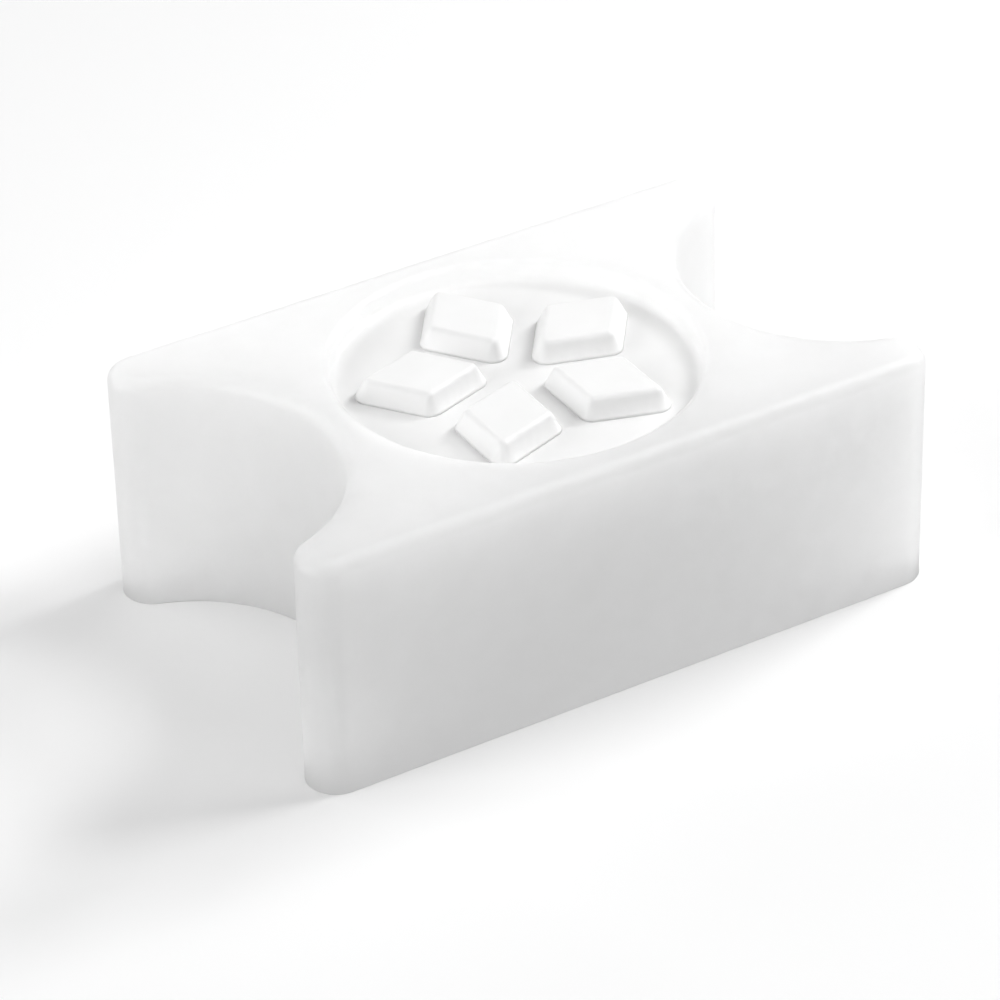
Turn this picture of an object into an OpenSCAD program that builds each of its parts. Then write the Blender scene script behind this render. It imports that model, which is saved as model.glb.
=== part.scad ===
// Gymnastics chalk block: one pressed compact of magnesium carbonate with a scooped
// end each way and a round recess in the top that holds a raised five-pointed star.
// +X runs along the block, +Z is up, and the origin is the middle of the base.

/* [Block] */
// Length of the block, over the tips of its ears
block_length = 80; // [78:1:90]
// Width of the block
block_width = 50; // [48:0.5:50.5]
// Height of the block
block_height = 30; // [20:0.5:40]
// Radius that rounds the edge all round the top face
top_edge_radius = 1.7; // [1:0.1:2.2]

/* [Scoops] */
// Radius of the scoop that is cut down through each end
scoop_radius = 19.18; // [18.8:0.02:21]
// Radius of the ear on each side of a scoop, seen from above
ear_radius = 3.55; // [3.4:0.05:4.2]

/* [Recess] */
// Radius of the round recess in the top face
recess_radius = 21; // [20.2:0.1:21.4]
// Depth of the recess
recess_depth = 2.5; // [2:0.1:4]
// Radius that rounds the recess's rim over into the top face
recess_rim_radius = 0.8; // [0.3:0.1:1]
// Radius of the curve between the recess's wall and its floor
recess_floor_radius = 1; // [0.3:0.1:1.5]

/* [Star] */
// Distance from the middle of the star to a point
star_tip_radius = 18.5; // [17:0.5:18.5]
// Length of the side that each pad shares with the groove beside it
star_arm_side = 7; // [6:0.2:7.4]
// Width of the grooves between the pads
groove_width = 2.6; // [2:0.2:3.2]
// Radius that rounds the pads' upper edges and corners
pad_edge_radius = 1; // [0.7:0.1:1.2]
// How much wider a pad's foot is than its shoulder, on each side
pad_draft = 0.8; // [0.4:0.1:1]

/* [Hidden] */
star_points = 5;
star_step = 360 / star_points;
star_heading = 90;
round_segments = 96;
pad_segments = 32;
foot_height = 0.2;
cut_over = 1;

recess_floor_z = block_height - recess_depth;

// An ear is round from the long side, past its end plane, to the scoop beside it
ear_x = block_length / 2 - ear_radius;
ear_y = block_width / 2 - ear_radius;
// A scoop's circle touches both of its ears, which sets how far out its centre lies
scoop_from_ear = sqrt(pow(scoop_radius + ear_radius, 2) - pow(ear_y, 2));
scoop_centre_x = ear_x + scoop_from_ear;
// How far neighbouring stretches of the body run into each other
overlap = (ear_radius - top_edge_radius) / 2;

// Quarter of a disc, in the corner where x and y are positive
module quarter_disc(radius) {
    intersection() {
        circle(r = radius, $fn = round_segments);
        square(radius);
    }
}

// Upright section of the body, whose outer edge at x = reach is rounded at the top
module edge_section(reach) {
    square([reach, block_height - top_edge_radius]);
    square([reach - top_edge_radius, block_height]);
    translate([reach - top_edge_radius, block_height - top_edge_radius])
        quarter_disc(top_edge_radius);
}

// What lies above and below one outline, taller than the block
module tall_prism(outline) {
    translate([0, 0, -cut_over])
        linear_extrude(block_height + 2 * cut_over)
            polygon(outline);
}

// The ear at the near left corner, from the long side round to the line between the
// ear's centre and the scoop's
module ear() {
    outside = block_width / 2;
    translate([-ear_x, -ear_y, 0])
        intersection() {
            rotate_extrude($fn = round_segments)
                edge_section(ear_radius);
            tall_prism([
                [0, 0],
                [-scoop_from_ear, ear_y],
                [-outside, ear_y],
                [-outside, -outside],
                [0, -outside]
            ]);
        }
}

// The left scoop's wall: a ring round the scoop's centre, cut off at the two ears
module scoop_wall() {
    band = ear_radius + overlap;
    translate([-scoop_centre_x, 0, 0])
        intersection() {
            rotate_extrude($fn = round_segments)
                translate([scoop_radius + band, 0])
                    mirror([1, 0])
                        edge_section(band);
            tall_prism([
                [0, 0],
                [2 * scoop_from_ear, -2 * ear_y],
                [2 * scoop_radius, -2 * ear_y],
                [2 * scoop_radius, 2 * ear_y],
                [2 * scoop_from_ear, 2 * ear_y]
            ]);
        }
}

// The near long side, as a straight slab between the two ears
module long_side() {
    band = ear_radius + overlap;
    translate([-ear_x, band - block_width / 2, 0])
        rotate([90, 0, 90])
            linear_extrude(2 * ear_x)
                mirror([1, 0])
                    edge_section(band);
}

// Everything between the sides and the scoops
module core() {
    linear_extrude(block_height)
        difference() {
            square([2 * ear_x, 2 * ear_y], center = true);
            for (end = [-1, 1])
                translate([end * scoop_centre_x, 0])
                    circle(r = scoop_radius + ear_radius + overlap / 2, $fn = round_segments);
        }
}

// What the recess takes out of the top face, with a rounded rim and a curved foot
module recess() {
    wall_bottom_z = recess_floor_z + recess_floor_radius;
    rim_z = block_height - recess_rim_radius;
    over_z = block_height + cut_over;
    rotate_extrude($fn = round_segments) {
        translate([0, recess_floor_z])
            square([recess_radius - recess_floor_radius, over_z - recess_floor_z]);
        translate([0, wall_bottom_z])
            square([recess_radius, over_z - wall_bottom_z]);
        translate([recess_radius - recess_floor_radius, wall_bottom_z])
            mirror([0, 1])
                quarter_disc(recess_floor_radius);
        difference() {
            translate([0, rim_z])
                square([recess_radius + recess_rim_radius, over_z - rim_z]);
            translate([recess_radius + recess_rim_radius, rim_z])
                mirror([1, 0])
                    quarter_disc(recess_rim_radius);
        }
    }
}

module pressed_block() {
    color("whitesmoke")
        difference() {
            union() {
                core();
                for (turn = [0, 180])
                    rotate([0, 0, turn]) {
                        long_side();
                        scoop_wall();
                        ear();
                        mirror([0, 1, 0])
                            ear();
                    }
            }
            recess();
        }
}

// One corner of a pad: a drafted foot on the recess floor under a ball at the top face
module pad_corner(position) {
    shoulder_z = block_height - pad_edge_radius;
    translate([position[0], position[1], recess_floor_z])
        cylinder(r = pad_edge_radius + pad_draft, h = foot_height, $fn = pad_segments);
    translate([position[0], position[1], shoulder_z])
        sphere(r = pad_edge_radius, $fn = pad_segments);
}

// One kite-shaped pad of the star, pointing along +X before it is turned. Its two inner
// sides run parallel to its neighbours', half a groove from the line between them.
module star_pad(number) {
    half_angle = star_step / 2;
    corner_radius = pad_edge_radius + pad_draft;
    inner_x = (groove_width / 2 + corner_radius) / sin(half_angle);
    valley = [
        inner_x + star_arm_side * cos(half_angle),
        star_arm_side * sin(half_angle)
    ];
    tip_x = star_tip_radius - corner_radius;
    color("white")
        rotate([0, 0, star_heading + (number - 1) * star_step])
            hull() {
                pad_corner([inner_x, 0]);
                pad_corner(valley);
                pad_corner([valley[0], -valley[1]]);
                pad_corner([tip_x, 0]);
            }
}

pressed_block();
for (i = [1:star_points])
    star_pad(i);
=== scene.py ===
import math

import bmesh
import bpy
from mathutils import Matrix, Vector, noise


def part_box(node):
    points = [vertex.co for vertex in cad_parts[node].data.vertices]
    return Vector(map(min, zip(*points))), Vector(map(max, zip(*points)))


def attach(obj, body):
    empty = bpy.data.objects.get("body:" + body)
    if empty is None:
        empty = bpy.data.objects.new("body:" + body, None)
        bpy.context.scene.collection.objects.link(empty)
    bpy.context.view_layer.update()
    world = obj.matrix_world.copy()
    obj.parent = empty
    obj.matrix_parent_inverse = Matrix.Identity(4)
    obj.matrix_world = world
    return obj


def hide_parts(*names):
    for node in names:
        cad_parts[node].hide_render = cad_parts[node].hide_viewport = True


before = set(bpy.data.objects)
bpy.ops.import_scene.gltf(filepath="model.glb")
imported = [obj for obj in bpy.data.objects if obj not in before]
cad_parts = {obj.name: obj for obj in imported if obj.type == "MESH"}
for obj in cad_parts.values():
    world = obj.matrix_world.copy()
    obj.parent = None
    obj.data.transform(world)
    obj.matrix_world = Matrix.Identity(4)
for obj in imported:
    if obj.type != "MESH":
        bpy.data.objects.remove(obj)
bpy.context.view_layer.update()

MM = 0.001

# ---------------------------------------------------------------- the block's sizes
BLOCK_LOW, BLOCK_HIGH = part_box("pressed_block")
HALF_LENGTH = (BLOCK_HIGH.x - BLOCK_LOW.x) / 2
HALF_WIDTH = (BLOCK_HIGH.y - BLOCK_LOW.y) / 2
TOP_Z = BLOCK_HIGH.z
TOP_EDGE_RADIUS = 1.7 * MM
BASE_EDGE_RADIUS = 0.1 * MM
EAR_RADIUS = 3.55 * MM
SCOOP_RADIUS = 19.18 * MM

# An ear is round from the long side to the scoop, and a scoop's circle touches both ears
EAR_X = HALF_LENGTH - EAR_RADIUS
EAR_Y = HALF_WIDTH - EAR_RADIUS
SCOOP_X = EAR_X + math.sqrt((SCOOP_RADIUS + EAR_RADIUS) ** 2 - EAR_Y**2)
EAR_END_ANGLE = math.atan2(EAR_Y, SCOOP_X - EAR_X)

RECESS_RADIUS = 21 * MM
RECESS_FLOOR_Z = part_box("star_pad_1")[0].z
RECESS_RIM_RADIUS = 0.8 * MM
RECESS_FLOOR_RADIUS = 1 * MM

# ---------------------------------------------------------------- the star's sizes
STAR_POINTS = 5
STAR_STEP = 2 * math.pi / STAR_POINTS
STAR_HEADING = math.pi / 2
STAR_TIP_RADIUS = 18.5 * MM
STAR_ARM_SIDE = 7 * MM
GROOVE_WIDTH = 2.6 * MM
# How far a pad's foot and its flat top reach outside the centres of its corners
PAD_FOOT_OUT = 1.8 * MM
PAD_FLAT_OUT = 0.6 * MM
PAD_EDGE_RADIUS = 0.9 * MM

# ---------------------------------------------------------------- mesh detail
SIDE_STEPS = 90
EAR_STEPS = 28
SCOOP_STEPS = 62
WALL_STEPS = 44
ARC_STEPS = 8
FLAT_STEPS = 12
PAD_CORNER_STEPS = 10
PAD_SIDE_STEPS = 24
PAD_RISE_STEPS = 6
# Rings under a pad's foot and over its top, as shares of the way in from its rim
PAD_FOOT_SHARES = (0.8, 0.4)
PAD_TOP_SHARES = (0.3, 0.6, 0.9)
# Radius of the ring round the middle of the base and of the recess's floor
HUB_RADIUS = RECESS_RADIUS / 8
# A face that points down more than this belongs to a flat foot
FOOT_NORMAL_Z = -0.999
# How far round the recess, as a share of a quarter turn, the side and then the ear reach
SIDE_SHARE = 0.38
EAR_SHARE = 0.44

# ---------------------------------------------------------------- the powder's surface
# How deep light goes into the body
LIGHT_DEPTH = 40 * MM
CHALK_IOR = 1.5
# Mottled tone, from its dark patches to its pale ones
DARK_TONE = (0.9, 0.9, 0.897, 1)
PALE_TONE = (0.93, 0.93, 0.929, 1)
# Roughness of the faces, and of the edges that handling has rubbed
FACE_ROUGHNESS = (0.46, 0.62)
EDGE_ROUGHNESS = (0.34, 0.46)
# Sizes of the patches and of the grain in the pressed powder, and how deep the grain is
MOTTLE_SIZE = 7 * MM
RUBBED_SIZE = 2.5 * MM
COARSE_GRAIN_SIZE = 1.6 * MM
COARSE_GRAIN_DEPTH = 0.02 * MM
FINE_GRAIN_SIZE = 0.16 * MM
FINE_GRAIN_DEPTH = 0.006 * MM
# How many finer layers each noise has
MOTTLE_DETAIL = 4
RUBBED_DETAIL = 5
GRAIN_DETAIL = 3
# Where most of a noise's values lie
NOISE_LOW = 0.3
NOISE_HIGH = 0.7
# The star's relief lets no light in, as far out as its pads reach
RELIEF_RADIUS = STAR_TIP_RADIUS + 0.3 * MM
# Painted shade over the relief: its tone beside the body's, on the recess's floor and from this
# far above it
RECESS_FLOOR_PAINTED_SHADE = 0.92
RELIEF_TONE_ABOVE_PAINTED_SHADE = 1
PAINTED_SHADE_RISE = 0.2 * MM
# A slow swell over every face, and a finer wear along the upper edges, both inward
SWELL_DEPTH = 0.05 * MM
SWELL_SIZE = 9 * MM
WEAR_DEPTH = 0.1 * MM
WEAR_SIZE = 1 * MM
# A piece is worn fully only this far above the flat that it stands on, and not at all on it
SEAT_FADE = 0.5 * MM
SEAT_GAP = 0.01 * MM

# ---------------------------------------------------------------- the studio's sizes
# How far the table top reaches each way from the block's middle, and how it looks
FLOOR_REACH = 3
FLOOR_COLOUR = (0.93, 0.93, 0.93, 1)
FLOOR_ROUGHNESS = 0.9
# Where the camera is, in degrees, and how far off, in lengths of the block
CAMERA_AZIMUTH = -30.24
CAMERA_ELEVATION = 33.61
CAMERA_ROLL = -1.46
CAMERA_DISTANCE = 6.798
# What it points at, in lengths of the block from the middle
CAMERA_AIM = (-0.0627, -0.0526)
# Focal length and width of the sensor, in millimetres
CAMERA_LENS = 174.2
SENSOR_WIDTH = 36
# How near and how far the camera sees
CLIP_START = 0.01
CLIP_END = 20
# How far off the lights stand, and how wide the soft and the hard ones are
SOFTBOX_DISTANCE = 0.6
SOFT_SIZE = 0.35
HARD_SIZE = 0.14
# Elevation, in degrees, of the lights that stand for what a bright table throws back up
BELOW = -25


def arc(centre, radius, start, end, steps):
    """Points on a circle from one angle to another, without the last one."""
    angles = [start + (end - start) * i / steps for i in range(steps)]
    return [(centre[0] + radius * math.cos(a), centre[1] + radius * math.sin(a)) for a in angles]


def four_quarters(quarter):
    """A whole loop, anticlockwise, from its near right quarter, which starts on the
    Y axis and ends on the X axis."""
    right = quarter + [(x, -y) for x, y in quarter[-2::-1]]
    return right + [(-x, y) for x, y in right[-2:0:-1]]


def outline_loop(inset):
    """The block's outline seen from above, drawn in by an inset."""
    side = [(EAR_X * i / SIDE_STEPS, inset - HALF_WIDTH) for i in range(SIDE_STEPS)]
    ear = arc((EAR_X, -EAR_Y), EAR_RADIUS - inset, -math.pi / 2, EAR_END_ANGLE, EAR_STEPS)
    scoop_start = EAR_END_ANGLE + math.pi
    scoop = arc((SCOOP_X, 0), SCOOP_RADIUS + inset, scoop_start, math.pi, SCOOP_STEPS)
    return four_quarters(side + ear + scoop + [(SCOOP_X - SCOOP_RADIUS - inset, 0)])


def round_loop(radius):
    """A circle with one point for each point of the outline, spread to suit it."""
    shares = [SIDE_SHARE * i / SIDE_STEPS for i in range(SIDE_STEPS)]
    ear_span = EAR_SHARE - SIDE_SHARE
    shares += [SIDE_SHARE + ear_span * i / EAR_STEPS for i in range(EAR_STEPS)]
    shares += [EAR_SHARE + (1 - EAR_SHARE) * i / SCOOP_STEPS for i in range(SCOOP_STEPS + 1)]
    angles = [math.pi / 2 * (share - 1) for share in shares]
    return four_quarters([(radius * math.cos(a), radius * math.sin(a)) for a in angles])


def between(loop_a, loop_b, share):
    """The loop that lies a share of the way from one loop to another."""
    return [
        (ax + (bx - ax) * share, ay + (by - ay) * share)
        for (ax, ay), (bx, by) in zip(loop_a, loop_b)
    ]


def at_height(loop, z):
    return [(x, y, z) for x, y in loop]


def closed_mesh(name, rings):
    """A closed mesh from rings of equally many points, each end closed onto its middle."""
    bm = bmesh.new()
    loops = [[bm.verts.new(point) for point in ring] for ring in rings]
    for lower, upper in zip(loops, loops[1:]):
        for i, vertex in enumerate(lower):
            bm.faces.new((lower[i - 1], vertex, upper[i], upper[i - 1]))
    for loop in (loops[0], loops[-1]):
        middle = bm.verts.new(sum((v.co for v in loop), Vector()) / len(loop))
        for i, vertex in enumerate(loop):
            bm.faces.new((loop[i - 1], vertex, middle))
    bmesh.ops.recalc_face_normals(bm, faces=bm.faces)
    bm.normal_update()
    for face in bm.faces:
        # A foot is flat right out to its rim, so it is left out of the smooth shading
        face.smooth = face.normal.z > FOOT_NORMAL_Z
    mesh = bpy.data.meshes.new(name)
    bm.to_mesh(mesh)
    bm.free()
    piece = bpy.data.objects.new(name, mesh)
    bpy.context.scene.collection.objects.link(piece)
    return piece


def above_seat(point):
    """How far a point lies above the flat below it: the recess's floor, or the base."""
    above_recess = point.z - RECESS_FLOOR_Z
    in_recess = math.hypot(point.x, point.y) < RECESS_RADIUS and above_recess > -SEAT_GAP
    return max(0, above_recess) if in_recess else point.z


def weather(piece):
    """Wears a piece inward, and keeps on each vertex how much of an edge it lies on. The wear
    fades out at a flat, so that no thin edge is pushed through it."""
    mesh = piece.data
    edge = mesh.attributes.new("edge", "FLOAT", "POINT")
    normals = [vertex.normal.copy() for vertex in mesh.vertices]
    for vertex, normal in zip(mesh.vertices, normals):
        # Full halfway between a wall and the top, and none on either of them
        on_edge = (2 * normal.z * math.hypot(normal.x, normal.y)) ** 2 if normal.z > 0 else 0
        edge.data[vertex.index].value = on_edge
        swell = (1 + noise.noise(vertex.co / SWELL_SIZE)) / 2
        wear = (1 + noise.noise(vertex.co / WEAR_SIZE)) / 2
        depth = SWELL_DEPTH * swell + WEAR_DEPTH * on_edge * wear
        vertex.co -= normal * depth * min(1, above_seat(vertex.co) / SEAT_FADE)


def block_rings():
    """Rings from the middle of the base, out, up the walls, in over the top, down into the
    recess and in across its floor."""
    hub = round_loop(HUB_RADIUS)
    rings = []
    base_rim = outline_loop(BASE_EDGE_RADIUS)
    for i in range(1, FLAT_STEPS + 1):
        rings.append(at_height(between(hub, base_rim, (i - 1) / FLAT_STEPS), 0))
    for i in range(ARC_STEPS):
        turn = math.pi / 2 * i / ARC_STEPS
        inset = BASE_EDGE_RADIUS * (1 - math.sin(turn))
        z = BASE_EDGE_RADIUS * (1 - math.cos(turn))
        rings.append(at_height(outline_loop(inset), z))
    wall_top = TOP_Z - TOP_EDGE_RADIUS
    wall = outline_loop(0)
    for i in range(WALL_STEPS):
        z = BASE_EDGE_RADIUS + (wall_top - BASE_EDGE_RADIUS) * i / WALL_STEPS
        rings.append(at_height(wall, z))
    for i in range(ARC_STEPS):
        turn = math.pi / 2 * i / ARC_STEPS
        inset = TOP_EDGE_RADIUS * (1 - math.cos(turn))
        z = wall_top + TOP_EDGE_RADIUS * math.sin(turn)
        rings.append(at_height(outline_loop(inset), z))
    top_outer = outline_loop(TOP_EDGE_RADIUS)
    top_inner = round_loop(RECESS_RADIUS + RECESS_RIM_RADIUS)
    for i in range(FLAT_STEPS):
        rings.append(at_height(between(top_outer, top_inner, i / FLAT_STEPS), TOP_Z))
    for i in range(ARC_STEPS):
        turn = math.pi / 2 * i / ARC_STEPS
        radius = RECESS_RADIUS + RECESS_RIM_RADIUS * (1 - math.sin(turn))
        z = TOP_Z - RECESS_RIM_RADIUS * (1 - math.cos(turn))
        rings.append(at_height(round_loop(radius), z))
    for i in range(ARC_STEPS):
        turn = math.pi / 2 * i / ARC_STEPS
        radius = RECESS_RADIUS - RECESS_FLOOR_RADIUS * (1 - math.cos(turn))
        z = RECESS_FLOOR_Z + RECESS_FLOOR_RADIUS * (1 - math.sin(turn))
        rings.append(at_height(round_loop(radius), z))
    floor_rim = round_loop(RECESS_RADIUS - RECESS_FLOOR_RADIUS)
    for i in range(FLAT_STEPS + 1):
        rings.append(at_height(between(floor_rim, hub, i / FLAT_STEPS), RECESS_FLOOR_Z))
    return rings


def pad_loop(corners, out):
    """A loop at one distance outside a polygon of corner centres, round at each corner."""
    loop = []
    for i, corner in enumerate(corners):
        before, after = corner - corners[i - 1], corners[(i + 1) % len(corners)] - corner
        start = math.atan2(before.y, before.x) - math.pi / 2
        turn = (math.atan2(after.y, after.x) - math.pi / 2 - start) % (2 * math.pi)
        loop += arc(corner, out, start, start + turn, PAD_CORNER_STEPS)
        side_start = corner + out * Vector((after.y, -after.x)).normalized()
        for step in range(PAD_SIDE_STEPS):
            point = side_start + after * (step / PAD_SIDE_STEPS)
            loop.append((point.x, point.y))
    return loop


def pad_rings(number):
    """Rings of one kite-shaped pad, from the middle of its foot up to the middle of its
    top. Its inner sides run beside its neighbours', half a groove from the line between."""
    half_angle = STAR_STEP / 2
    inner_x = (GROOVE_WIDTH / 2 + PAD_FOOT_OUT) / math.sin(half_angle)
    valley_x = inner_x + STAR_ARM_SIDE * math.cos(half_angle)
    valley_y = STAR_ARM_SIDE * math.sin(half_angle)
    tip_x = STAR_TIP_RADIUS - PAD_FOOT_OUT
    kite = [(inner_x, 0), (valley_x, -valley_y), (tip_x, 0), (valley_x, valley_y)]
    heading = Matrix.Rotation(STAR_HEADING + (number - 1) * STAR_STEP, 2)
    corners = [heading @ Vector(corner) for corner in kite]
    middle = sum(corners, Vector((0, 0))) / len(corners)

    slope = math.atan2(TOP_Z - RECESS_FLOOR_Z, PAD_FOOT_OUT - PAD_FLAT_OUT)
    edge_out = PAD_FLAT_OUT - PAD_EDGE_RADIUS * math.tan(slope / 2)
    edge = []
    for i in range(ARC_STEPS + 1):
        turn = slope * (1 - i / ARC_STEPS)
        z = TOP_Z - PAD_EDGE_RADIUS * (1 - math.cos(turn))
        edge.append((edge_out + PAD_EDGE_RADIUS * math.sin(turn), z))
    shoulder_out, shoulder_z = edge[0]
    profile = []
    for i in range(PAD_RISE_STEPS):
        share = i / PAD_RISE_STEPS
        z = RECESS_FLOOR_Z + (shoulder_z - RECESS_FLOOR_Z) * share
        profile.append((PAD_FOOT_OUT + (shoulder_out - PAD_FOOT_OUT) * share, z))
    profile += edge
    foot = pad_loop(corners, profile[0][0])
    top = pad_loop(corners, profile[-1][0])
    point_loop = [tuple(middle)] * len(foot)
    rings = [
        at_height(between(foot, point_loop, share), RECESS_FLOOR_Z)
        for share in PAD_FOOT_SHARES
    ]
    rings += [at_height(pad_loop(corners, out), z) for out, z in profile]
    rings += [at_height(between(top, point_loop, share), TOP_Z) for share in PAD_TOP_SHARES]
    return rings


# ---------------------------------------------------------------- materials
def value_noise(nodes, links, coordinates, size, detail):
    texture = nodes.new("ShaderNodeTexNoise")
    texture.inputs["Scale"].default_value = 1 / size
    texture.inputs["Detail"].default_value = detail
    links.new(coordinates, texture.inputs["Vector"])
    return texture.outputs["Fac"]


def ramp(nodes, links, source, low, high):
    """A range map that takes noise around its middle to a low and a high value."""
    spread = nodes.new("ShaderNodeMapRange")
    spread.inputs["From Min"].default_value = NOISE_LOW
    spread.inputs["From Max"].default_value = NOISE_HIGH
    spread.inputs["To Min"].default_value = low
    spread.inputs["To Max"].default_value = high
    links.new(source, spread.inputs["Value"])
    return spread.outputs["Result"]


def add_outside_relief(nodes, links, coordinates):
    """0 as far out as the pads reach, and 1 from the recess's wall on."""
    across = nodes.new("ShaderNodeVectorMath")
    across.operation = "MULTIPLY"
    across.inputs[1].default_value = (1, 1, 0)
    links.new(coordinates, across.inputs[0])
    distance = nodes.new("ShaderNodeVectorMath")
    distance.operation = "LENGTH"
    links.new(across.outputs["Vector"], distance.inputs[0])
    share = nodes.new("ShaderNodeMapRange")
    share.interpolation_type = "SMOOTHSTEP"
    share.inputs["From Min"].default_value = RELIEF_RADIUS
    share.inputs["From Max"].default_value = RECESS_RADIUS
    links.new(distance.outputs["Value"], share.inputs["Value"])
    return share.outputs["Result"]


def add_relief_painted_shade(nodes, links, coordinates, outside_relief):
    """Painted shade: how much darker the relief is than the body at the recess's floor. It lets
    no light in, so this painted shade stands for the light a real recess's floor would lose to
    the body."""
    height = nodes.new("ShaderNodeSeparateXYZ")
    links.new(coordinates, height.inputs[0])
    painted_shade_ramp = nodes.new("ShaderNodeMapRange")
    painted_shade_ramp.interpolation_type = "SMOOTHSTEP"
    painted_shade_ramp.inputs["From Min"].default_value = RECESS_FLOOR_Z
    painted_shade_ramp.inputs["From Max"].default_value = RECESS_FLOOR_Z + PAINTED_SHADE_RISE
    painted_shade_ramp.inputs["To Min"].default_value = RECESS_FLOOR_PAINTED_SHADE
    painted_shade_ramp.inputs["To Max"].default_value = RELIEF_TONE_ABOVE_PAINTED_SHADE
    links.new(height.outputs["Z"], painted_shade_ramp.inputs["Value"])
    painted_shade_mix = nodes.new("ShaderNodeMix")
    painted_shade_mix.inputs["B"].default_value = 1
    links.new(outside_relief, painted_shade_mix.inputs["Factor"])
    links.new(painted_shade_ramp.outputs["Result"], painted_shade_mix.inputs["A"])
    return painted_shade_mix.outputs["Result"]


def chalk_material():
    """Pressed chalk: smooth and almost white, with a fine powder grain. Light goes in under
    the surface, though not at the relief, where it would leak out at the pads' thin feet."""
    material = bpy.data.materials.new("chalk")
    material.use_nodes = True
    nodes, links = material.node_tree.nodes, material.node_tree.links
    shader = nodes["Principled BSDF"]
    shader.inputs["IOR"].default_value = CHALK_IOR
    shader.inputs["Subsurface Radius"].default_value = (1, 1, 1)
    shader.inputs["Subsurface Scale"].default_value = LIGHT_DEPTH
    coordinates = nodes.new("ShaderNodeTexCoord").outputs["Object"]
    outside_relief = add_outside_relief(nodes, links, coordinates)
    links.new(outside_relief, shader.inputs["Subsurface Weight"])

    mottle = value_noise(nodes, links, coordinates, MOTTLE_SIZE, MOTTLE_DETAIL)
    tone = nodes.new("ShaderNodeMix")
    tone.data_type = "RGBA"
    tone.inputs["A"].default_value = DARK_TONE
    tone.inputs["B"].default_value = PALE_TONE
    links.new(ramp(nodes, links, mottle, 0, 1), tone.inputs["Factor"])
    # The tone is darkened by painted shade on the recess's floor, among the pads' feet
    relief = nodes.new("ShaderNodeVectorMath")
    relief.operation = "SCALE"
    links.new(tone.outputs["Result"], relief.inputs[0])
    relief_painted_shade = add_relief_painted_shade(nodes, links, coordinates, outside_relief)
    links.new(relief_painted_shade, relief.inputs["Scale"])
    links.new(relief.outputs["Vector"], shader.inputs["Base Color"])

    # Handling polishes the edges, in patches
    rubbed = value_noise(nodes, links, coordinates, RUBBED_SIZE, RUBBED_DETAIL)
    edge = nodes.new("ShaderNodeAttribute")
    edge.attribute_name = "edge"
    gloss = nodes.new("ShaderNodeMix")
    links.new(edge.outputs["Fac"], gloss.inputs["Factor"])
    links.new(ramp(nodes, links, rubbed, *FACE_ROUGHNESS), gloss.inputs["A"])
    links.new(ramp(nodes, links, rubbed, *EDGE_ROUGHNESS), gloss.inputs["B"])
    links.new(gloss.outputs["Result"], shader.inputs["Roughness"])

    grain = value_noise(nodes, links, coordinates, FINE_GRAIN_SIZE, GRAIN_DETAIL)
    pressed = value_noise(nodes, links, coordinates, COARSE_GRAIN_SIZE, GRAIN_DETAIL)
    coarse_bump = nodes.new("ShaderNodeBump")
    coarse_bump.inputs["Distance"].default_value = COARSE_GRAIN_DEPTH
    links.new(pressed, coarse_bump.inputs["Height"])
    fine_bump = nodes.new("ShaderNodeBump")
    fine_bump.inputs["Distance"].default_value = FINE_GRAIN_DEPTH
    links.new(grain, fine_bump.inputs["Height"])
    links.new(coarse_bump.outputs["Normal"], fine_bump.inputs["Normal"])
    links.new(fine_bump.outputs["Normal"], shader.inputs["Normal"])
    return material


# ---------------------------------------------------------------- studio
def add_camera():
    """A long lens that looks down at the block from its near left corner."""
    azimuth = math.radians(CAMERA_AZIMUTH)
    elevation = math.radians(CAMERA_ELEVATION)
    roll = math.radians(CAMERA_ROLL)
    length = 2 * HALF_LENGTH
    aim = Vector((CAMERA_AIM[0] * length, CAMERA_AIM[1] * length, TOP_Z / 2))
    distance = CAMERA_DISTANCE * length
    back = Vector((
        math.sin(azimuth) * math.cos(elevation),
        -math.cos(azimuth) * math.cos(elevation),
        math.sin(elevation),
    ))
    level = Vector((math.cos(azimuth), math.sin(azimuth), 0))
    upright = back.cross(level)
    right = level * math.cos(roll) + upright * math.sin(roll)
    up = upright * math.cos(roll) - level * math.sin(roll)
    data = bpy.data.cameras.new("camera")
    data.sensor_width = SENSOR_WIDTH
    data.lens = CAMERA_LENS
    data.clip_start = CLIP_START
    data.clip_end = CLIP_END
    camera = bpy.data.objects.new("camera", data)
    bpy.context.scene.collection.objects.link(camera)
    turned = Matrix((right, up, back)).transposed().to_4x4()
    camera.matrix_world = Matrix.Translation(aim + back * distance) @ turned
    bpy.context.scene.camera = camera


def add_floor():
    """A plain white table top."""
    mesh = bpy.data.meshes.new("floor")
    signs = ((-1, -1), (1, -1), (1, 1), (-1, 1))
    corners = [(x * FLOOR_REACH, y * FLOOR_REACH, 0) for x, y in signs]
    mesh.from_pydata(corners, [], [(0, 1, 2, 3)])
    floor = bpy.data.objects.new("floor", mesh)
    bpy.context.scene.collection.objects.link(floor)
    material = bpy.data.materials.new("floor")
    material.use_nodes = True
    shader = material.node_tree.nodes["Principled BSDF"]
    shader.inputs["Base Color"].default_value = FLOOR_COLOUR
    shader.inputs["Roughness"].default_value = FLOOR_ROUGHNESS
    shader.inputs["Specular IOR Level"].default_value = 0
    mesh.materials.append(material)
    # The lights below the table's level shine through it, in place of what it throws back
    floor.visible_diffuse = False
    floor.visible_glossy = False
    floor.visible_shadow = False


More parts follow.
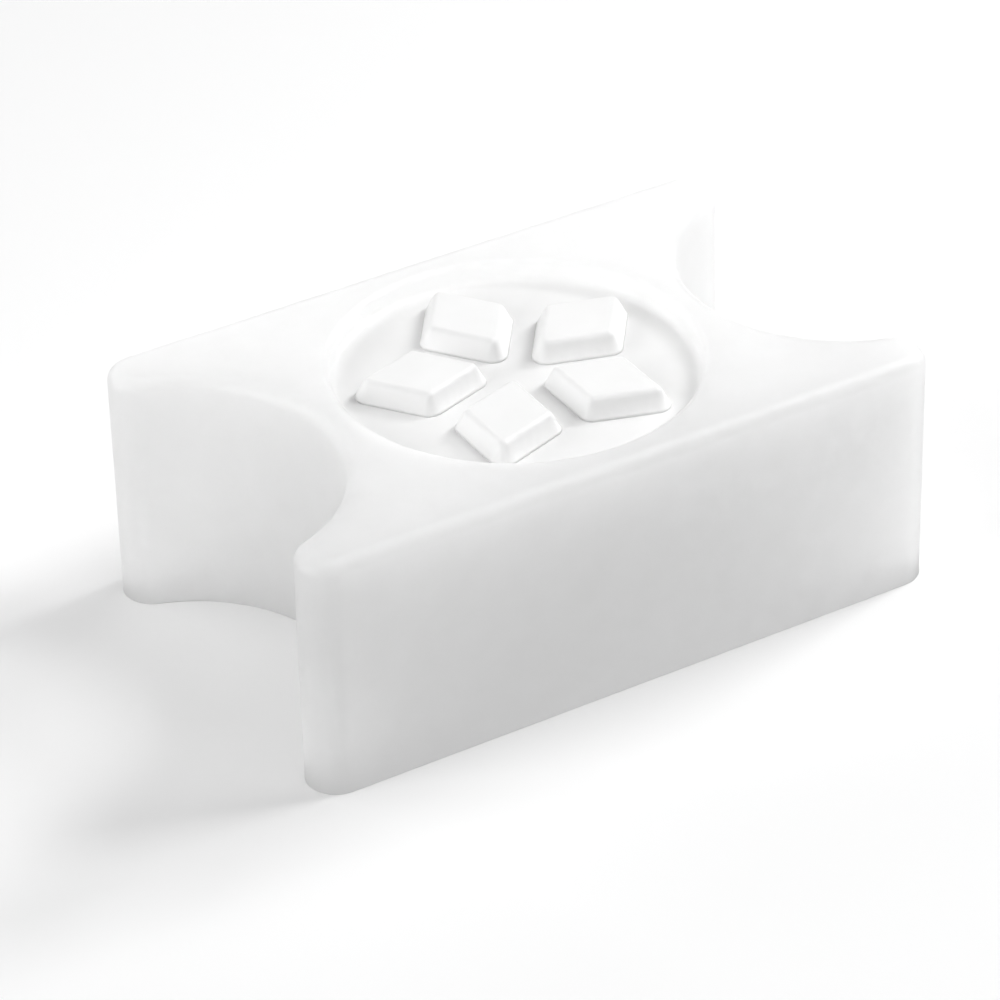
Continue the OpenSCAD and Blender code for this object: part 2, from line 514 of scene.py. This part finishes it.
def add_softbox(name, azimuth, elevation, size, power, mirrored=True):
    """A square soft light that faces the block from one direction. Azimuth 0 is in front of
    the near side, and 90 is off the right end. One that isn't mirrored leaves no gloss."""
    a, e = math.radians(azimuth), math.radians(elevation)
    towards = Vector((math.sin(a) * math.cos(e), -math.cos(a) * math.cos(e), math.sin(e)))
    data = bpy.data.lights.new(name, "AREA")
    data.shape = "SQUARE"
    data.size = size
    data.energy = power
    light = bpy.data.objects.new(name, data)
    bpy.context.scene.collection.objects.link(light)
    light.location = Vector((0, 0, TOP_Z / 2)) + towards * SOFTBOX_DISTANCE
    light.rotation_mode = "QUATERNION"
    light.rotation_quaternion = towards.to_track_quat("Z", "Y")
    light.visible_glossy = mirrored


def add_backdrop():
    """White past the edge of the floor, which lights nothing."""
    world = bpy.data.worlds.new("studio")
    world.use_nodes = True
    nodes, links = world.node_tree.nodes, world.node_tree.links
    seen = nodes.new("ShaderNodeLightPath").outputs["Is Camera Ray"]
    nodes["Background"].inputs["Color"].default_value = (1, 1, 1, 1)
    links.new(seen, nodes["Background"].inputs["Strength"])
    bpy.context.scene.world = world


def add_piece(node, rings, material):
    piece = closed_mesh(node + "_chalk", rings)
    weather(piece)
    piece.data.materials.append(material)
    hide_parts(node)
    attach(piece, "root")


bpy.context.scene.view_settings.view_transform = "Standard"
chalk = chalk_material()
add_piece("pressed_block", block_rings(), chalk)
for number in range(1, STAR_POINTS + 1):
    add_piece(f"star_pad_{number}", pad_rings(number), chalk)
add_camera()
add_floor()
add_backdrop()
add_softbox("key", 75, 50, HARD_SIZE, 1.15)
add_softbox("key_back", 115, 50, HARD_SIZE, 0.25)
add_softbox("right", 95, 34, HARD_SIZE, 1.45)
add_softbox("top", 0, 85, SOFT_SIZE, 0.6)
add_softbox("front", 0, 52, SOFT_SIZE, 0.75)
add_softbox("left", 270, 22, SOFT_SIZE, 1.7)
add_softbox("back_left", 225, 22, SOFT_SIZE, 0.75)
add_softbox("back", 180, 22, SOFT_SIZE, 0.4)
add_softbox("below_right", 45, BELOW, SOFT_SIZE, 1.5)
add_softbox("below_back_right", 135, BELOW, SOFT_SIZE, 0.95)
# A grazing reflection of this one would draw a bright line down the near left ear
add_softbox("below_back", 180, BELOW, SOFT_SIZE, 2.4, mirrored=False)
add_softbox("below_left", 315, BELOW, SOFT_SIZE, 0.6)
